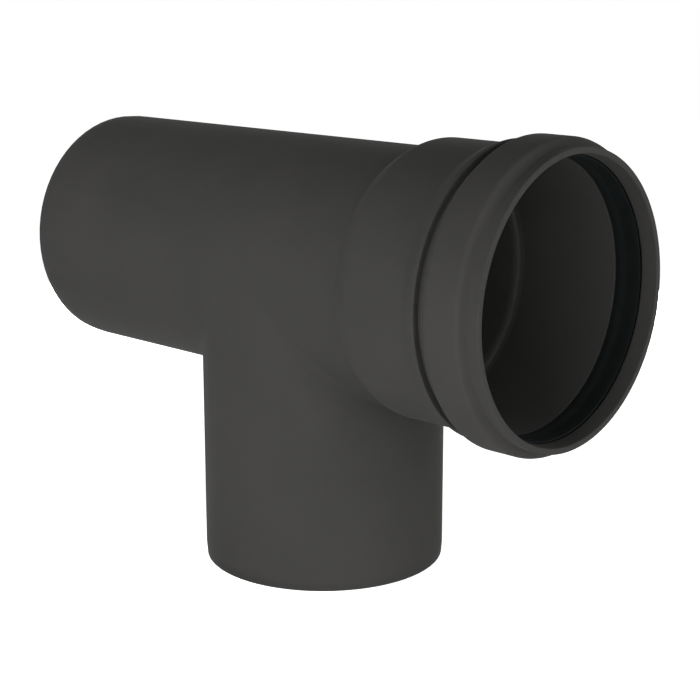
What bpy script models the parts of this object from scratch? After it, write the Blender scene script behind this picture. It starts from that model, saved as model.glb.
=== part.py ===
"""Stove pipe tee: a blended tee body, a belled socket and its silicone seal.

The tee stands on its branch, the way it is shown. The run lies along X with the socket at +X,
the branch points down to z = 0. Sizes are in metres.
"""
import math

import bmesh
import bpy
from mathutils import Matrix, Vector

# The pipe: outer diameter of both plain ends, and enamelled wall
PIPE_DIAMETER = 0.080
WALL = 0.0020
SEAT_GAP = 0.0003

# How far each end lies from the point where run and branch cross
SPIGOT_REACH = 0.100
MOUTH_REACH = 0.100
BRANCH_REACH = 0.100

# Plain ends and crotch
LEAD_LENGTH = 0.004
LEAD_DROP = 0.0003
EDGE_BREAK = 0.0003
CROTCH_RADIUS = 0.0025

# Socket: how deep a pipe goes in, and the shoulder that closes on the run
INSERTION_DEPTH = 0.0495
SHOULDER_LENGTH = 0.0065
SHOULDER_TOP = 0.0012
SHOULDER_BEND = 0.0060
NECK_LENGTH = 0.0024
TOE_HEIGHT = 0.0003
SLEEVE_DIAMETER = 0.0869

# Socket: rolled rib and the narrow groove in front of it
RIB_DIAMETER = 0.0904
RIB_WIDTH = 0.0014
RIB_RISE = 0.0042
GROOVE_WIDTH = 0.0006
GROOVE_FLOOR_DIAMETER = 0.0874

# Socket: bead that holds the seal, and the lip
RAMP_LENGTH = 0.0052
BEAD_DIAMETER = 0.0941
BEAD_WIDTH = 0.0106
BEAD_FALL = 0.0018
SHELF_LENGTH = 0.0021
LIP_LENGTH = 0.0041
LIP_FOOT_DIAMETER = 0.0884
MOUTH_DIAMETER = 0.0893

# Rounding of the sheet's bends and edges
EDGE_ROUND = 0.0004
TIGHT_BEND = 0.0008
RIB_BEND = 0.0010
RAMP_BEND = 0.0012
WIDE_BEND = 0.0020
BEAD_FRONT_BEND = 0.0024
RIB_FOOT_BEND = 0.0040

# Seal: two lips with a shallow hollow between them
SEAL_FRONT_DIAMETER = 0.0836
SEAL_HOLLOW_DIAMETER = 0.0839
SEAL_BACK_DIAMETER = 0.0827
SEAL_LIP_WIDTH = 0.0012

# Fineness of the curves
SEGMENTS = 68
BLEND_STEPS = 4
ARC_STEP = math.radians(31)

# Worked out from the sizes above
PIPE_RADIUS = PIPE_DIAMETER / 2
STOP_X = MOUTH_REACH - INSERTION_DEPTH
TOE_X = STOP_X - SHOULDER_LENGTH
LIP_X = MOUTH_REACH - LIP_LENGTH
BEAD_FRONT_X = LIP_X - BEAD_FALL
BEAD_BACK_X = BEAD_FRONT_X - BEAD_WIDTH
GROOVE_FRONT_X = BEAD_BACK_X - RAMP_LENGTH
GROOVE_BACK_X = GROOVE_FRONT_X - GROOVE_WIDTH
RIB_BACK_X = GROOVE_BACK_X - RIB_WIDTH
CHAMBER_BACK_X = BEAD_BACK_X + SHELF_LENGTH
CHAMBER_RADIUS = BEAD_DIAMETER / 2 - WALL
SLEEVE_BORE_RADIUS = SLEEVE_DIAMETER / 2 - WALL
AXES_CROSS = Vector((0, 0, BRANCH_REACH))


def clear_scene():
    for thing in list(bpy.data.objects):
        bpy.data.objects.remove(thing, do_unlink=True)


def painted(name, colour, roughness):
    """A Principled material for one sub-part."""
    material = bpy.data.materials.new(name)
    material.use_nodes = True
    shader = material.node_tree.nodes["Principled BSDF"]
    shader.inputs["Base Color"].default_value = (*colour, 1)
    shader.inputs["Roughness"].default_value = roughness
    shader.inputs["Metallic"].default_value = 0
    return material


def finish(name, mesh, material):
    """Turns a closed bmesh into a named, smooth-shaded object at the crossing of the axes."""
    bmesh.ops.remove_doubles(mesh, verts=mesh.verts, dist=1e-6)
    bmesh.ops.recalc_face_normals(mesh, faces=mesh.faces)
    data = bpy.data.meshes.new(name)
    mesh.to_mesh(data)
    mesh.free()
    data.shade_smooth()
    data.set_sharp_from_angle(angle=math.radians(35))
    data.materials.append(material)
    thing = bpy.data.objects.new(name, data)
    thing.location = AXES_CROSS
    bpy.context.collection.objects.link(thing)
    return thing


def rounded(corners):
    """A line through (x, r, fillet) corners, each corner rounded by its fillet radius."""
    points = []
    count = len(corners)
    for i, (x, r, fillet) in enumerate(corners):
        corner = Vector((x, r))
        back = Vector(corners[i - 1][:2]) - corner
        ahead = Vector(corners[(i + 1) % count][:2]) - corner
        opening = back.angle(ahead)
        if fillet == 0 or opening > math.radians(178):
            points.append(corner)
            continue
        reach = fillet / math.tan(opening / 2)
        reach = min(reach, 0.48 * back.length, 0.48 * ahead.length)
        radius = reach * math.tan(opening / 2)
        start = corner + reach * back.normalized()
        centre = corner + (back.normalized() + ahead.normalized()).normalized() * math.hypot(reach, radius)
        sweep = (start - centre).angle_signed(corner + reach * ahead.normalized() - centre)
        steps = max(1, math.ceil(abs(sweep) / ARC_STEP))
        for k in range(steps + 1):
            points.append(centre + Matrix.Rotation(-sweep * k / steps, 2) @ (start - centre))
    return points


def turned(name, corners, material):
    """A closed (x, r) outline with rounded corners, spun round the run's axis."""
    mesh = bmesh.new()
    verts = [mesh.verts.new((p.x, 0, p.y)) for p in rounded(corners)]
    edges = [mesh.edges.new((verts[i - 1], verts[i])) for i in range(len(verts))]
    bmesh.ops.spin(
        mesh, geom=verts + edges, cent=(0, 0, 0), axis=(1, 0, 0),
        angle=math.tau, steps=SEGMENTS, use_merge=True,
    )
    return finish(name, mesh, material)


def loft(mesh, rows, closed):
    """Skins a list of equally long rows of points with quads."""
    made = [[mesh.verts.new(point) for point in row] for row in rows]
    for near, far in zip(made, made[1:]):
        for i in range(0 if closed else 1, len(near)):
            mesh.faces.new((near[i - 1], near[i], far[i], far[i - 1]))


def turns(first, last):
    """Angles in even steps from first to last, both in whole segments."""
    return [math.tau * k / SEGMENTS for k in range(first, last + 1)]


def crotch(angle, share, depth):
    """A point of the rolling fillet between run and branch, depth below the outer face.

    The two pipes are equally wide, so their faces meet along two flat ellipses. A ball that
    rolls in that corner touches the run (share 0) and the branch (share 1).
    """
    across, along = math.cos(angle), math.sin(angle)
    centre = (PIPE_RADIUS + CROTCH_RADIUS) * Vector((across, along, -abs(across)))
    to_run = Vector((0, along, -abs(across)))
    to_branch = Vector((across, along, 0))
    normal = to_run.slerp(to_branch, share) if abs(across) > 1e-6 else to_run
    return centre - (CROTCH_RADIUS + depth) * normal


def run_row(x, radius):
    """A ring round the run's axis, from its lowest point round."""
    return [Vector((x, radius * math.sin(a), -radius * math.cos(a))) for a in turns(0, SEGMENTS - 1)]


def run_seam(side, depth):
    """The edge of the run's skin towards the branch: along the crotch below, straight above."""
    reach = PIPE_RADIUS + CROTCH_RADIUS
    row = run_row(0, PIPE_RADIUS - depth)
    for point, angle in zip(row, turns(0, SEGMENTS - 1)):
        point.x = side * reach * max(math.cos(angle), 0)
    return row


def branch_row(z, radius):
    return [Vector((radius * math.cos(a), radius * math.sin(a), z)) for a in turns(0, SEGMENTS - 1)]


def branch_seam(depth):
    """The upper edge of the branch's skin, along the crotch."""
    return [crotch(a, 1, depth) for a in turns(0, SEGMENTS - 1)]


def plain_end(reach):
    """Distance and radius of a spigot's rings, from the outer face round the cut to the bore."""
    return [
        (reach - LEAD_LENGTH, PIPE_RADIUS),
        (reach - EDGE_BREAK, PIPE_RADIUS - LEAD_DROP),
        (reach, PIPE_RADIUS - LEAD_DROP - EDGE_BREAK),
        (reach, PIPE_RADIUS - LEAD_DROP - WALL + EDGE_BREAK),
        (reach - EDGE_BREAK, PIPE_RADIUS - LEAD_DROP - WALL),
        (reach - LEAD_LENGTH, PIPE_RADIUS - WALL),
    ]


def square_end(reach):
    """The run's end inside the socket: cut square, with its edges broken."""
    return [
        (reach - EDGE_BREAK, PIPE_RADIUS),
        (reach, PIPE_RADIUS - EDGE_BREAK),
        (reach, PIPE_RADIUS - WALL + EDGE_BREAK),
        (reach - EDGE_BREAK, PIPE_RADIUS - WALL),
    ]


def tee_body(material):
    """Run and branch as one blended shell, open at its three ends."""
    mesh = bmesh.new()
    for side, end in ((-1, plain_end(SPIGOT_REACH)), (1, square_end(STOP_X))):
        limb = [run_row(side * x, r) for x, r in end]
        loft(mesh, [run_seam(side, 0), *limb, run_seam(side, WALL)], closed=True)
    limb = [branch_row(-z, r) for z, r in plain_end(BRANCH_REACH)]
    loft(mesh, [branch_seam(0), *limb, branch_seam(WALL)], closed=True)
    quarter = SEGMENTS // 4
    for first in (-quarter, quarter):
        around = turns(first, first + 2 * quarter)
        for depth in (0, WALL):
            rows = [[crotch(a, k / BLEND_STEPS, depth) for a in around] for k in range(BLEND_STEPS + 1)]
            loft(mesh, rows, closed=False)
    return finish("tee_body", mesh, material)


def bead_front():
    """The bead's sloping front inside the socket: where it leaves the chamber and meets the lip."""
    drop = (BEAD_DIAMETER - LIP_FOOT_DIAMETER) / 2
    lean = BEAD_FALL / math.hypot(BEAD_FALL, drop)
    shift = WALL * (1 - lean) / math.sqrt(1 - lean * lean)
    return (
        Vector((BEAD_FRONT_X - shift, CHAMBER_RADIUS)),
        Vector((LIP_X - shift, LIP_FOOT_DIAMETER / 2 - WALL)),
    )


def socket(material):
    """The belled end: shoulder on the run, sleeve, rib, groove, seal bead and lip, in one sheet."""
    neck = PIPE_RADIUS + SEAT_GAP
    sleeve = SLEEVE_DIAMETER / 2
    crown, foot = bead_front()
    outer = [
        (TOE_X, neck, 0),
        (TOE_X, neck + TOE_HEIGHT, 0),
        (STOP_X - SHOULDER_TOP, sleeve, SHOULDER_BEND),
        (RIB_BACK_X - RIB_RISE, sleeve, RIB_FOOT_BEND),
        (RIB_BACK_X, RIB_DIAMETER / 2, RIB_BEND),
        (GROOVE_BACK_X, RIB_DIAMETER / 2, EDGE_ROUND),
        (GROOVE_BACK_X, GROOVE_FLOOR_DIAMETER / 2, 0),
        (GROOVE_FRONT_X, GROOVE_FLOOR_DIAMETER / 2, TIGHT_BEND),
        (BEAD_BACK_X, BEAD_DIAMETER / 2, RAMP_BEND),
        (BEAD_FRONT_X, BEAD_DIAMETER / 2, BEAD_FRONT_BEND),
        (LIP_X, LIP_FOOT_DIAMETER / 2, TIGHT_BEND),
        (MOUTH_REACH, MOUTH_DIAMETER / 2, EDGE_ROUND),
    ]
    inner = [
        (MOUTH_REACH, MOUTH_DIAMETER / 2 - WALL, EDGE_ROUND),
        (*foot, TIGHT_BEND),
        (*crown, TIGHT_BEND),
        (CHAMBER_BACK_X, CHAMBER_RADIUS, TIGHT_BEND),
        (CHAMBER_BACK_X, SLEEVE_BORE_RADIUS, EDGE_ROUND),
        (STOP_X, SLEEVE_BORE_RADIUS, WIDE_BEND),
        (TOE_X + NECK_LENGTH, neck, RIB_BEND),
    ]
    return turned("socket", outer + inner, material)


def seal(material):
    """The silicone ring in the bead, with a lip at each side of its hollow."""
    crown, foot = bead_front()
    back = CHAMBER_BACK_X + SEAT_GAP
    front = foot.x - SEAT_GAP
    outside = CHAMBER_RADIUS - SEAT_GAP
    slope = (foot - crown).normalized()
    inward = SEAT_GAP * Vector((slope.y, -slope.x))
    seat = crown + inward
    seat += slope * (seat.y - outside) / -slope.y
    tip = foot + inward
    corners = [
        (back, outside, TIGHT_BEND),
        (*seat, TIGHT_BEND),
        (*tip, EDGE_ROUND),
        (front, SEAL_FRONT_DIAMETER / 2, EDGE_ROUND),
        (front - SEAL_LIP_WIDTH, SEAL_FRONT_DIAMETER / 2, EDGE_ROUND),
        (front - 2 * SEAL_LIP_WIDTH, SEAL_HOLLOW_DIAMETER / 2, TIGHT_BEND),
        (back + 2 * SEAL_LIP_WIDTH, SEAL_HOLLOW_DIAMETER / 2, TIGHT_BEND),
        (back + SEAL_LIP_WIDTH, SEAL_BACK_DIAMETER / 2, EDGE_ROUND),
        (back, SEAL_BACK_DIAMETER / 2, EDGE_ROUND),
    ]
    return turned("seal", corners, material)


def build():
    clear_scene()
    enamel = painted("black_enamel", (0.048, 0.047, 0.045), 0.55)
    silicone = painted("black_silicone", (0.006, 0.008, 0.008), 0.45)
    tee_body(enamel)
    socket(enamel)
    seal(silicone)


build()
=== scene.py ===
# Stove pipe tee, dressed for the render: matte enamel, silicone seal, studio floor and camera
import math

import bmesh
import bpy
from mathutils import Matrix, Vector


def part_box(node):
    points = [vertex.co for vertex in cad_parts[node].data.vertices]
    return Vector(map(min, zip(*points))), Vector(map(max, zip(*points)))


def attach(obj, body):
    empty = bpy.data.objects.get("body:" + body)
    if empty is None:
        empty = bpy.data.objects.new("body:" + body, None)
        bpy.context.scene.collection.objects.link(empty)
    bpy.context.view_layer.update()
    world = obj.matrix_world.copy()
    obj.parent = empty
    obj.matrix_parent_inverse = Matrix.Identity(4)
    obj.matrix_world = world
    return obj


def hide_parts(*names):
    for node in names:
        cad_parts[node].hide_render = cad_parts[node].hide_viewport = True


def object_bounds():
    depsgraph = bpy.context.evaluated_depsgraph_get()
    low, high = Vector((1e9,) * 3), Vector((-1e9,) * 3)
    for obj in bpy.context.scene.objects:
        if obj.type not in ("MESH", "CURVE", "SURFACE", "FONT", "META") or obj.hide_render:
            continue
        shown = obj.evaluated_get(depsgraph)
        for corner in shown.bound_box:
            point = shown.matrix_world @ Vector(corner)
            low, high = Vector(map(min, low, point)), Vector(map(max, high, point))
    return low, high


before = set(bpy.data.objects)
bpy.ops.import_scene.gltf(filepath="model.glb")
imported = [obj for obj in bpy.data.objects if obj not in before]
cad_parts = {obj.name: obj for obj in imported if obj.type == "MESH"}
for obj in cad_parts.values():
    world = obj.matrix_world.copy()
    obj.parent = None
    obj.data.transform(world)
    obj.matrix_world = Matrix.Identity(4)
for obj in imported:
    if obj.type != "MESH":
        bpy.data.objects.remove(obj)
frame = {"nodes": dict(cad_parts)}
cadLow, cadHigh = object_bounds()
print("frame loaded:", ", ".join(frame["nodes"]))

socketLow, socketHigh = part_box("socket")
runAxis = Vector((0, 0, (socketLow.z + socketHigh.z) / 2))  # the point of the run's axis over the branch


# Node helpers

noiseRange = (0.3, 0.7)  # nearly all values of a noise lie in here


def newMaterial(name):
    material = bpy.data.materials.new(name)
    material.use_nodes = True
    nodes = material.node_tree.nodes
    return material, nodes, material.node_tree.links, nodes["Principled BSDF"]


def objectCoords(nodes):
    return nodes.new("ShaderNodeTexCoord").outputs["Object"]


def noise(nodes, links, vector, scale, detail, roughness):
    node = nodes.new("ShaderNodeTexNoise")
    node.inputs["Scale"].default_value = scale
    node.inputs["Detail"].default_value = detail
    node.inputs["Roughness"].default_value = roughness
    links.new(vector, node.inputs["Vector"])
    return node.outputs["Fac"]


def ramp(nodes, links, value, low, high, span=noiseRange):
    # goes from low to high while the value crosses the span
    node = nodes.new("ShaderNodeMapRange")
    node.inputs["From Min"].default_value = span[0]
    node.inputs["From Max"].default_value = span[1]
    node.inputs["To Min"].default_value = low
    node.inputs["To Max"].default_value = high
    links.new(value, node.inputs["Value"])
    return node.outputs["Result"]


def bump(nodes, links, height, distance, strength, coarser=None):
    # coarser is the normal of another bump, which this one lies on
    node = nodes.new("ShaderNodeBump")
    node.inputs["Distance"].default_value = distance
    node.inputs["Strength"].default_value = strength
    links.new(height, node.inputs["Height"])
    if coarser:
        links.new(coarser, node.inputs["Normal"])
    return node.outputs["Normal"]


def clamped(nodes, links, operation, first, second):
    # a sum or product that stays between 0 and 1
    node = nodes.new("ShaderNodeMath")
    node.operation = operation
    node.use_clamp = True
    links.new(first, node.inputs[0])
    links.new(second, node.inputs[1])
    return node.outputs["Value"]


def driftColour(nodes, links, vector, shader, look):
    # the colour drifts in clouds between the look's dark and light; the clouds are handed back
    cloud = noise(nodes, links, vector, *look["cloud"])
    mix = nodes.new("ShaderNodeMix")
    mix.data_type = "RGBA"
    mix.inputs["A"].default_value = (*look["dark"], 1)
    mix.inputs["B"].default_value = (*look["light"], 1)
    links.new(ramp(nodes, links, cloud, 0, 1), mix.inputs["Factor"])
    links.new(mix.outputs["Result"], shader.inputs["Base Color"])
    return cloud


# Enamel: a matte black glaze, a little uneven in tone and with a fine orange peel

enamelLook = {
    "dark": (0.045, 0.0445, 0.043),
    "light": (0.051, 0.050, 0.048),
    "roughness": (0.70, 0.80),
    "specular": 0.04,
    # scale, detail and roughness of each noise
    "cloud": (38, 5, 0.6),
    "peel": (900, 2, 0.5),
    "grain": (3600, 2, 0.5),
    # depth and strength of each bump
    "peelBump": (0.00008, 0.25),
    "grainBump": (0.00003, 0.3),
}


def makeEnamel():
    material, nodes, links, shader = newMaterial("matteEnamel")
    vector = objectCoords(nodes)
    driftColour(nodes, links, vector, shader, enamelLook)
    grain = noise(nodes, links, vector, *enamelLook["grain"])
    peel = noise(nodes, links, vector, *enamelLook["peel"])
    links.new(ramp(nodes, links, grain, *enamelLook["roughness"]), shader.inputs["Roughness"])
    peelNormal = bump(nodes, links, peel, *enamelLook["peelBump"])
    grainNormal = bump(nodes, links, grain, *enamelLook["grainBump"], peelNormal)
    links.new(grainNormal, shader.inputs["Normal"])
    shader.inputs["Specular IOR Level"].default_value = enamelLook["specular"]
    return material


# Silicone: darker than the enamel, with a slight sheen and a cool tint

siliconeLook = {
    "dark": (0.0068, 0.0083, 0.0085),
    "light": (0.0083, 0.0101, 0.0103),
    "roughness": (0.70, 0.80),
    "specular": 0.06,
    # scale, detail and roughness of each noise
    "cloud": (160, 3, 0.5),
    "dust": (2600, 2, 0.5),
    "dustBump": (0.00003, 0.25),  # depth and strength
}


def makeSilicone():
    material, nodes, links, shader = newMaterial("blackSilicone")
    vector = objectCoords(nodes)
    cloud = driftColour(nodes, links, vector, shader, siliconeLook)
    links.new(ramp(nodes, links, cloud, *siliconeLook["roughness"]), shader.inputs["Roughness"])
    dust = noise(nodes, links, vector, *siliconeLook["dust"])
    links.new(bump(nodes, links, dust, *siliconeLook["dustBump"]), shader.inputs["Normal"])
    shader.inputs["Specular IOR Level"].default_value = siliconeLook["specular"]
    return material


enamel = makeEnamel()
silicone = makeSilicone()
print("materials ready")


# Mesh helpers

meshing = {
    "merge": 1e-6,  # points closer than this are one
    "sharpAngle": 40,  # degrees, past which an edge stays sharp
    "stepsAround": 192,  # round the run, for every turned piece
    "bendSteps": 6,  # round each bend of a section
    "sideShare": 0.48,  # of a section's side, the most that one bend takes
}


def mergeDoubles(bm):
    bmesh.ops.remove_doubles(bm, verts=bm.verts, dist=meshing["merge"])


def addObject(name, data):
    thing = bpy.data.objects.new(name, data)
    bpy.context.collection.objects.link(thing)
    return thing


def addMesh(bm, name, material):
    mesh = bpy.data.meshes.new(name)
    bm.to_mesh(mesh)
    bm.free()
    mesh.materials.append(material)
    return addObject(name, mesh)


def finishPiece(bm, name, material, slot, *nodes):
    mergeDoubles(bm)
    piece = addMesh(bm, name, material)
    piece.data.shade_smooth()
    piece.data.set_sharp_from_angle(angle=math.radians(meshing["sharpAngle"]))
    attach(piece, "root")
    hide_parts(*nodes)
    return piece


def bendReach(corners, i):
    # how far along its two sides a corner's bend starts, for the radius that the corner gives
    x, radius, bend = corners[i]
    back = Vector(corners[i - 1][:2]) - Vector((x, radius))
    ahead = Vector(corners[(i + 1) % len(corners)][:2]) - Vector((x, radius))
    most = meshing["sideShare"]
    return min(bend / math.tan(back.angle(ahead) / 2), most * back.length, most * ahead.length)


def turnedPiece(corners, name, material, slot, *nodes):
    # corners are (x, radius, bend) round a closed section, drawn in the XZ plane and spun round the run
    bm = bmesh.new()
    verts = [bm.verts.new(runAxis + Vector((x, 0, radius))) for x, radius, _ in corners]
    bm.faces.new(verts)
    for i, vert in enumerate(verts):
        if corners[i][2]:
            bmesh.ops.bevel(
                bm, geom=[vert], offset=bendReach(corners, i), offset_type="OFFSET",
                segments=meshing["bendSteps"], profile=0.5, affect="VERTICES", material=-1,
            )
    bmesh.ops.delete(bm, geom=bm.faces[:], context="FACES_ONLY")
    bmesh.ops.spin(
        bm, geom=bm.verts[:] + bm.edges[:], cent=runAxis, axis=(1, 0, 0),
        angle=math.tau, steps=meshing["stepsAround"], use_merge=True,
    )
    mergeDoubles(bm)
    bmesh.ops.recalc_face_normals(bm, faces=bm.faces)
    return finishPiece(bm, name, material, slot, *nodes)


# Tee body: the frame's own shell, merged, with rings cut in so that it shades evenly

teeShape = {
    "ringSpacing": 0.006,
    "rings": 17,  # to each side of the middle
    "pipe": 0.040,  # outer radius
    "corner": 0.0025,  # radius of the crotch, as the frame has it
    "openCorner": 0.016,  # and in front, where the two tubes meet almost flush
    "cornerEnd": 55,  # degrees round the crotch over which one becomes the other
    # which part of the skin is worked there
    "workTop": 0.001,  # highest over the run's axis
    "workOff": 0.3,  # nearest to the tee's middle plane, as a share of the pipe's radius
    "workDepth": 0.0004,  # deepest under the tubes' skin, which leaves out the bores
    "workReach": 0.006,  # most by which it is nearer to one tube than to the other
    "workEdge": 0.0014,  # longer edges are halved there
    "workPasses": 3,  # rounds of halving
}


def crotchFill(point):
    # for a point near the crotch, as seen from runAxis: how far outside the tubes it lies, how much nearer
    # it is to one tube than to the other, how far outside it should lie, and which way is out
    across, along = Vector((0, point.y, point.z)), Vector((point.x, point.y, 0))
    runGap, branchGap = across.length - teeShape["pipe"], along.length - teeShape["pipe"]
    # turn is how far round the tubes the point lies: 0 in front and behind, a quarter turn in the corners
    turn = math.asin(min(1, (abs(point.x) + abs(point.z)) / 2 / teeShape["pipe"]))
    share = min(1, turn / math.radians(teeShape["cornerEnd"]))
    share = share * share * (3 - 2 * share)  # eased at both ends
    radius = teeShape["openCorner"] + share * (teeShape["corner"] - teeShape["openCorner"])
    meeting = math.acos(math.cos(turn) ** 2)  # angle between the two skins
    height = radius * (1 / math.cos(meeting / 2) - 1)
    reach = max(meshing["merge"], radius * math.tan(meeting / 2) * math.sin(meeting))
    apart = abs(runGap - branchGap)
    target = height * (1 - apart / reach) ** 2 if apart < reach else 0
    lean = max(0, 1 - apart / reach) / 2
    near, far = (across, along) if runGap < branchGap else (along, across)
    out = (near.normalized() * (1 - lean) + far.normalized() * lean).normalized()
    return min(runGap, branchGap), apart, target, out


def openCrotch(bm):
    # a wider blend in front and behind, where the photograph shows no line between the tubes
    def worked(vert):
        point = vert.co - runAxis
        if point.z > teeShape["workTop"] or abs(point.y) < teeShape["workOff"] * teeShape["pipe"]:
            return False
        gap, apart, _, _ = crotchFill(point)
        return gap > -teeShape["workDepth"] and apart < teeShape["workReach"]

    for _ in range(teeShape["workPasses"]):
        edges = [
            edge for edge in bm.edges
            if edge.calc_length() > teeShape["workEdge"] and all(worked(vert) for vert in edge.verts)
        ]
        bmesh.ops.subdivide_edges(bm, edges=edges, cuts=1)
        bmesh.ops.triangulate(bm, faces=[face for face in bm.faces if len(face.verts) > 4])
    for vert in bm.verts:
        if worked(vert):
            gap, _, target, out = crotchFill(vert.co - runAxis)
            vert.co += max(0, target - gap) * out


def makeTee():
    bm = bmesh.new()
    bm.from_mesh(frame["nodes"]["tee_body"].data)
    mergeDoubles(bm)
    for ring in range(-teeShape["rings"], teeShape["rings"] + 1):
        place = ring * teeShape["ringSpacing"]
        for normal in ((1, 0, 0), (0, 0, 1)):
            bmesh.ops.bisect_plane(
                bm, geom=bm.verts[:] + bm.edges[:] + bm.faces[:], dist=meshing["merge"],
                plane_co=runAxis + place * Vector(normal), plane_no=normal,
            )
    openCrotch(bm)
    return finishPiece(bm, "teeShell", enamel, "black_enamel", "tee_body")


tee = makeTee()
print("tee shell:", len(tee.data.polygons), "faces")


# Socket: neck and shoulder, sleeve, rib, groove, bead and lip, then back along the bore

socketShape = {
    # places along the run, from its middle
    "toe": socketLow.x,
    "stop": 0.0505,
    "ribFoot": 0.0721,
    "ribBack": 0.0763,
    "ribFront": 0.0777,
    "rampFoot": 0.0783,
    "beadBack": 0.0830,
    "shelfEnd": 0.0856,
    "beadFront": 0.0943,
    "lip": 0.0959,
    "mouth": socketHigh.x,
    # outer radii, and the wall under them
    "wall": 0.0020,
    "neck": 0.0403,
    "sleeve": 0.04345,
    "rib": 0.0452,
    "grooveFloor": 0.0431,
    "bead": (socketHigh.y - socketLow.y) / 2,
    "lipFoot": 0.0442,
    "mouthRim": 0.04465,
    # lengths
    "toeEdge": 0.0003,  # thickness of the neck's thin end
    "neckLength": 0.0024,
    "shoulderLead": 0.0012,  # the shoulder's top lies this far behind the pipe stop
    # bends
    "edge": 0.0004,
    "tight": 0.0008,
    "soft": 0.0010,
    "wide": 0.0020,
    "shoulder": 0.0060,
    "ramp": 0.0018,
    "beadFrontBend": 0.0020,
    "ribFootBend": 0.0040,
}


def beadFrontInside():
    # where the bead's sloping front leaves the seal's chamber and meets the lip, one wall in
    shape = socketShape
    fall, drop = shape["lip"] - shape["beadFront"], shape["bead"] - shape["lipFoot"]
    lean = fall / math.hypot(fall, drop)
    shift = shape["wall"] * (1 - lean) / math.sqrt(1 - lean * lean)
    return (
        Vector((shape["beadFront"] - shift, shape["bead"] - shape["wall"])),
        Vector((shape["lip"] - shift, shape["lipFoot"] - shape["wall"])),
    )


def makeSocket():
    shape = socketShape
    bore = shape["sleeve"] - shape["wall"]
    crown, foot = beadFrontInside()
    corners = [
        (shape["toe"], shape["neck"], 0),
        (shape["toe"], shape["neck"] + shape["toeEdge"], 0),
        (shape["stop"] - shape["shoulderLead"], shape["sleeve"], shape["shoulder"]),
        (shape["ribFoot"], shape["sleeve"], shape["ribFootBend"]),
        (shape["ribBack"], shape["rib"], shape["soft"]),
        (shape["ribFront"], shape["rib"], shape["edge"]),
        (shape["ribFront"], shape["grooveFloor"], 0),
        (shape["rampFoot"], shape["grooveFloor"], shape["tight"]),
        (shape["beadBack"], shape["bead"], shape["ramp"]),
        (shape["beadFront"], shape["bead"], shape["beadFrontBend"]),
        (shape["lip"], shape["lipFoot"], shape["edge"]),
        (shape["mouth"], shape["mouthRim"], shape["edge"]),
        (shape["mouth"], shape["mouthRim"] - shape["wall"], shape["edge"]),
        (*foot, shape["tight"]),
        (*crown, shape["tight"]),
        (shape["shelfEnd"], shape["bead"] - shape["wall"], shape["tight"]),
        (shape["shelfEnd"], bore, shape["edge"]),
        (shape["stop"], bore, shape["wide"]),
        (shape["toe"] + shape["neckLength"], shape["neck"], shape["soft"]),
    ]
    return turnedPiece(corners, "socketShell", enamel, "black_enamel", "socket")


socket = makeSocket()
print("socket:", len(socket.data.polygons), "faces")


# Seal: seated in the bead, a lip on each side of its hollow

sealShape = {
    "gap": 0.0003,  # to the chamber's walls
    # inner radii
    "frontLip": 0.0417,
    "hollow": 0.0418,
    "backLip": 0.04135,
    # width of a lip's top, and of the slope from there to the hollow
    "lipWidth": 0.0018,
    # bends
    "bend": 0.0008,
    "edge": 0.0004,
}


def makeSeal():
    shape = sealShape
    crown, foot = beadFrontInside()
    slope = (foot - crown).normalized()
    inward = shape["gap"] * Vector((slope.y, -slope.x))
    outside = crown.y - shape["gap"]
    seat = crown + inward
    seat += slope * (seat.y - outside) / -slope.y
    back, front = socketShape["shelfEnd"] + shape["gap"], foot.x - shape["gap"]
    corners = [
        (back, outside, shape["bend"]),
        (*seat, shape["bend"]),
        (*(foot + inward), shape["edge"]),
        (front, shape["frontLip"], shape["edge"]),
        (front - shape["lipWidth"], shape["frontLip"], shape["edge"]),
        (front - 2 * shape["lipWidth"], shape["hollow"], shape["bend"]),
        (back + 2 * shape["lipWidth"], shape["hollow"], shape["bend"]),
        (back + shape["lipWidth"], shape["backLip"], shape["edge"]),
        (back, shape["backLip"], shape["edge"]),
    ]
    return turnedPiece(corners, "sealRing", silicone, "black_silicone", "seal")


seal = makeSeal()
print("seal:", len(seal.data.polygons), "faces")


# Studio: pale floor, soft boxes all round, low strips close by and a lamp for the floor in front

studio = {
    "floorRadius": 1.5,
    "floorSides": 96,
    "floorColour": (0.80, 0.80, 0.80),
    "floorRoughness": 0.9,
    "floorGlow": (0.92, 1.0),  # up to the first and from the second distance of glowReach
    "glowReach": (0.3, 0.9),
    "worldStrength": 0.01,  # as light: what is seen of the world is white
    "lampSets": [
        {
            "distance": 1.4,
            "size": (0.9, 0.9),
            "lamps": [  # name, degrees round from -Y towards +X, degrees up, watts
                ("frontBox", 65, 12, 5.2),
                ("rightBox", 120, 12, 6.3),
                ("highBox", 70, 60, 1.7),
                ("leftBox", -90, 12, 1.2),
            ],
        },
        {
            "distance": 0.45,
            "size": (0.4, 0.05),
            "lamps": [
                ("frontStrip", 20, -5.5, 1.08),
                ("rightStrip", 90, -5.5, 0.31),
                ("backStrip", -140, -5.5, 2.0),
            ],
        },
    ],
    # this one points straight down, and its patch of floor throws the light back up under the run
    "bouncePlace": (-0.144, -0.395, 0.9),
    "bounceSize": (0.3, 0.3),
    "bounceWatts": 1.55,
    "bounceSpread": 60,  # degrees
}


def seenDirectly(nodes, links):
    # 1 for what the camera sees, straight or mirrored in a gloss or through something clear, and 0 for light
    path = nodes.new("ShaderNodeLightPath")
    total = path.outputs["Is Camera Ray"]
    for ray in ("Is Glossy Ray", "Is Transmission Ray"):
        total = clamped(nodes, links, "ADD", total, path.outputs[ray])
    return total


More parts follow.
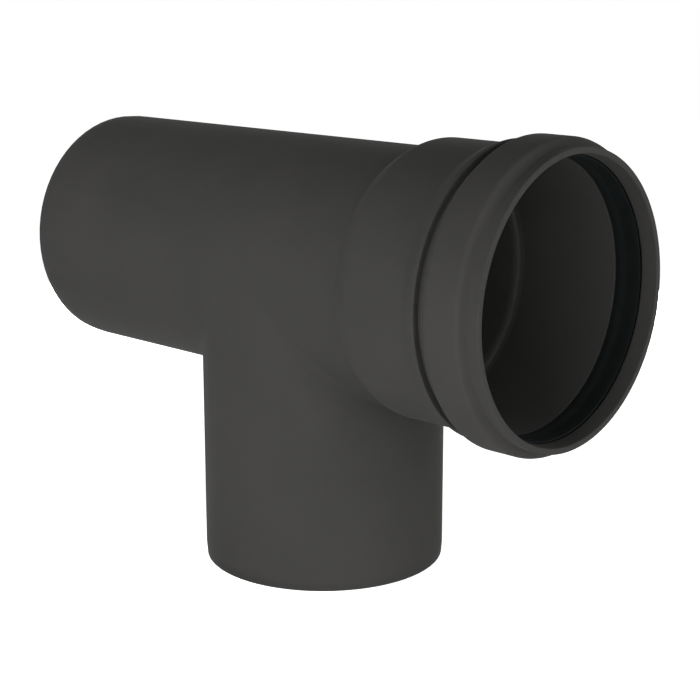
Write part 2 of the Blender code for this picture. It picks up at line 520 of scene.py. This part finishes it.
def makeFloor():
    material, nodes, links, shader = newMaterial("paleFloor")
    shader.inputs["Base Color"].default_value = (*studio["floorColour"], 1)
    shader.inputs["Roughness"].default_value = studio["floorRoughness"]
    shader.inputs["Specular IOR Level"].default_value = 0
    shader.inputs["Emission Color"].default_value = (1, 1, 1, 1)
    distance = nodes.new("ShaderNodeVectorMath")
    distance.operation = "LENGTH"
    links.new(objectCoords(nodes), distance.inputs[0])
    level = ramp(nodes, links, distance.outputs["Value"], *studio["floorGlow"], studio["glowReach"])
    glow = clamped(nodes, links, "MULTIPLY", level, seenDirectly(nodes, links))
    links.new(glow, shader.inputs["Emission Strength"])
    bm = bmesh.new()
    bmesh.ops.create_circle(
        bm, cap_ends=True, segments=studio["floorSides"], radius=studio["floorRadius"],
    )
    addMesh(bm, "studioFloor", material)


def makeWorld():
    world = bpy.data.worlds.new("studioWorld")
    bpy.context.scene.world = world
    world.use_nodes = True
    nodes, links = world.node_tree.nodes, world.node_tree.links
    level = nodes.new("ShaderNodeMix")
    level.inputs["A"].default_value = studio["worldStrength"]
    level.inputs["B"].default_value = 1
    links.new(seenDirectly(nodes, links), level.inputs["Factor"])
    links.new(level.outputs["Result"], nodes["Background"].inputs["Strength"])
    nodes["Background"].inputs["Color"].default_value = (1, 1, 1, 1)


def makeLamp(name, place, aim, size, watts, spread=180):
    lamp = bpy.data.lights.new(name, "AREA")
    lamp.shape = "RECTANGLE"
    lamp.size, lamp.size_y = size
    lamp.energy = watts
    lamp.spread = math.radians(spread)
    thing = addObject(name, lamp)
    thing.location = place
    thing.rotation_euler = (aim - place).to_track_quat("-Z", "Y").to_euler()


def viewFrom(azimuth, elevation):
    # the direction from the object towards a camera or lamp, both angles in degrees
    around, up = math.radians(azimuth), math.radians(elevation)
    return Vector((math.sin(around) * math.cos(up), -math.cos(around) * math.cos(up), math.sin(up)))


def makeLamps():
    middle = (cadLow + cadHigh) / 2
    for lampSet in studio["lampSets"]:
        for name, azimuth, elevation, watts in lampSet["lamps"]:
            place = middle + lampSet["distance"] * viewFrom(azimuth, elevation)
            makeLamp(name, place, middle, lampSet["size"], watts)
    place = Vector(studio["bouncePlace"])
    below = Vector((place.x, place.y, 0))
    size, watts, spread = studio["bounceSize"], studio["bounceWatts"], studio["bounceSpread"]
    makeLamp("bounceLeft", place, below, size, watts, spread)


makeFloor()
makeWorld()
makeLamps()
print("studio ready")


# Camera: solved from the photograph's outlines

cameraSet = {
    "target": (0.0137, -0.0020, 0.0720),
    "azimuth": 43.0,
    "elevation": 13.76,
    "distance": 0.530,
    "focalPixels": 1633.2,
    "framePixels": 700,
    "sensorWidth": 36,  # millimetres
}


def makeCamera():
    data = bpy.data.cameras.new("photoCamera")
    data.sensor_width = cameraSet["sensorWidth"]
    data.lens = cameraSet["focalPixels"] / cameraSet["framePixels"] * data.sensor_width
    camera = addObject("photoCamera", data)
    back = viewFrom(cameraSet["azimuth"], cameraSet["elevation"])
    camera.location = Vector(cameraSet["target"]) + cameraSet["distance"] * back
    camera.rotation_euler = (-back).to_track_quat("-Z", "Y").to_euler()
    bpy.context.scene.camera = camera


makeCamera()
bpy.context.scene.view_settings.view_transform = "Standard"
print("camera ready")
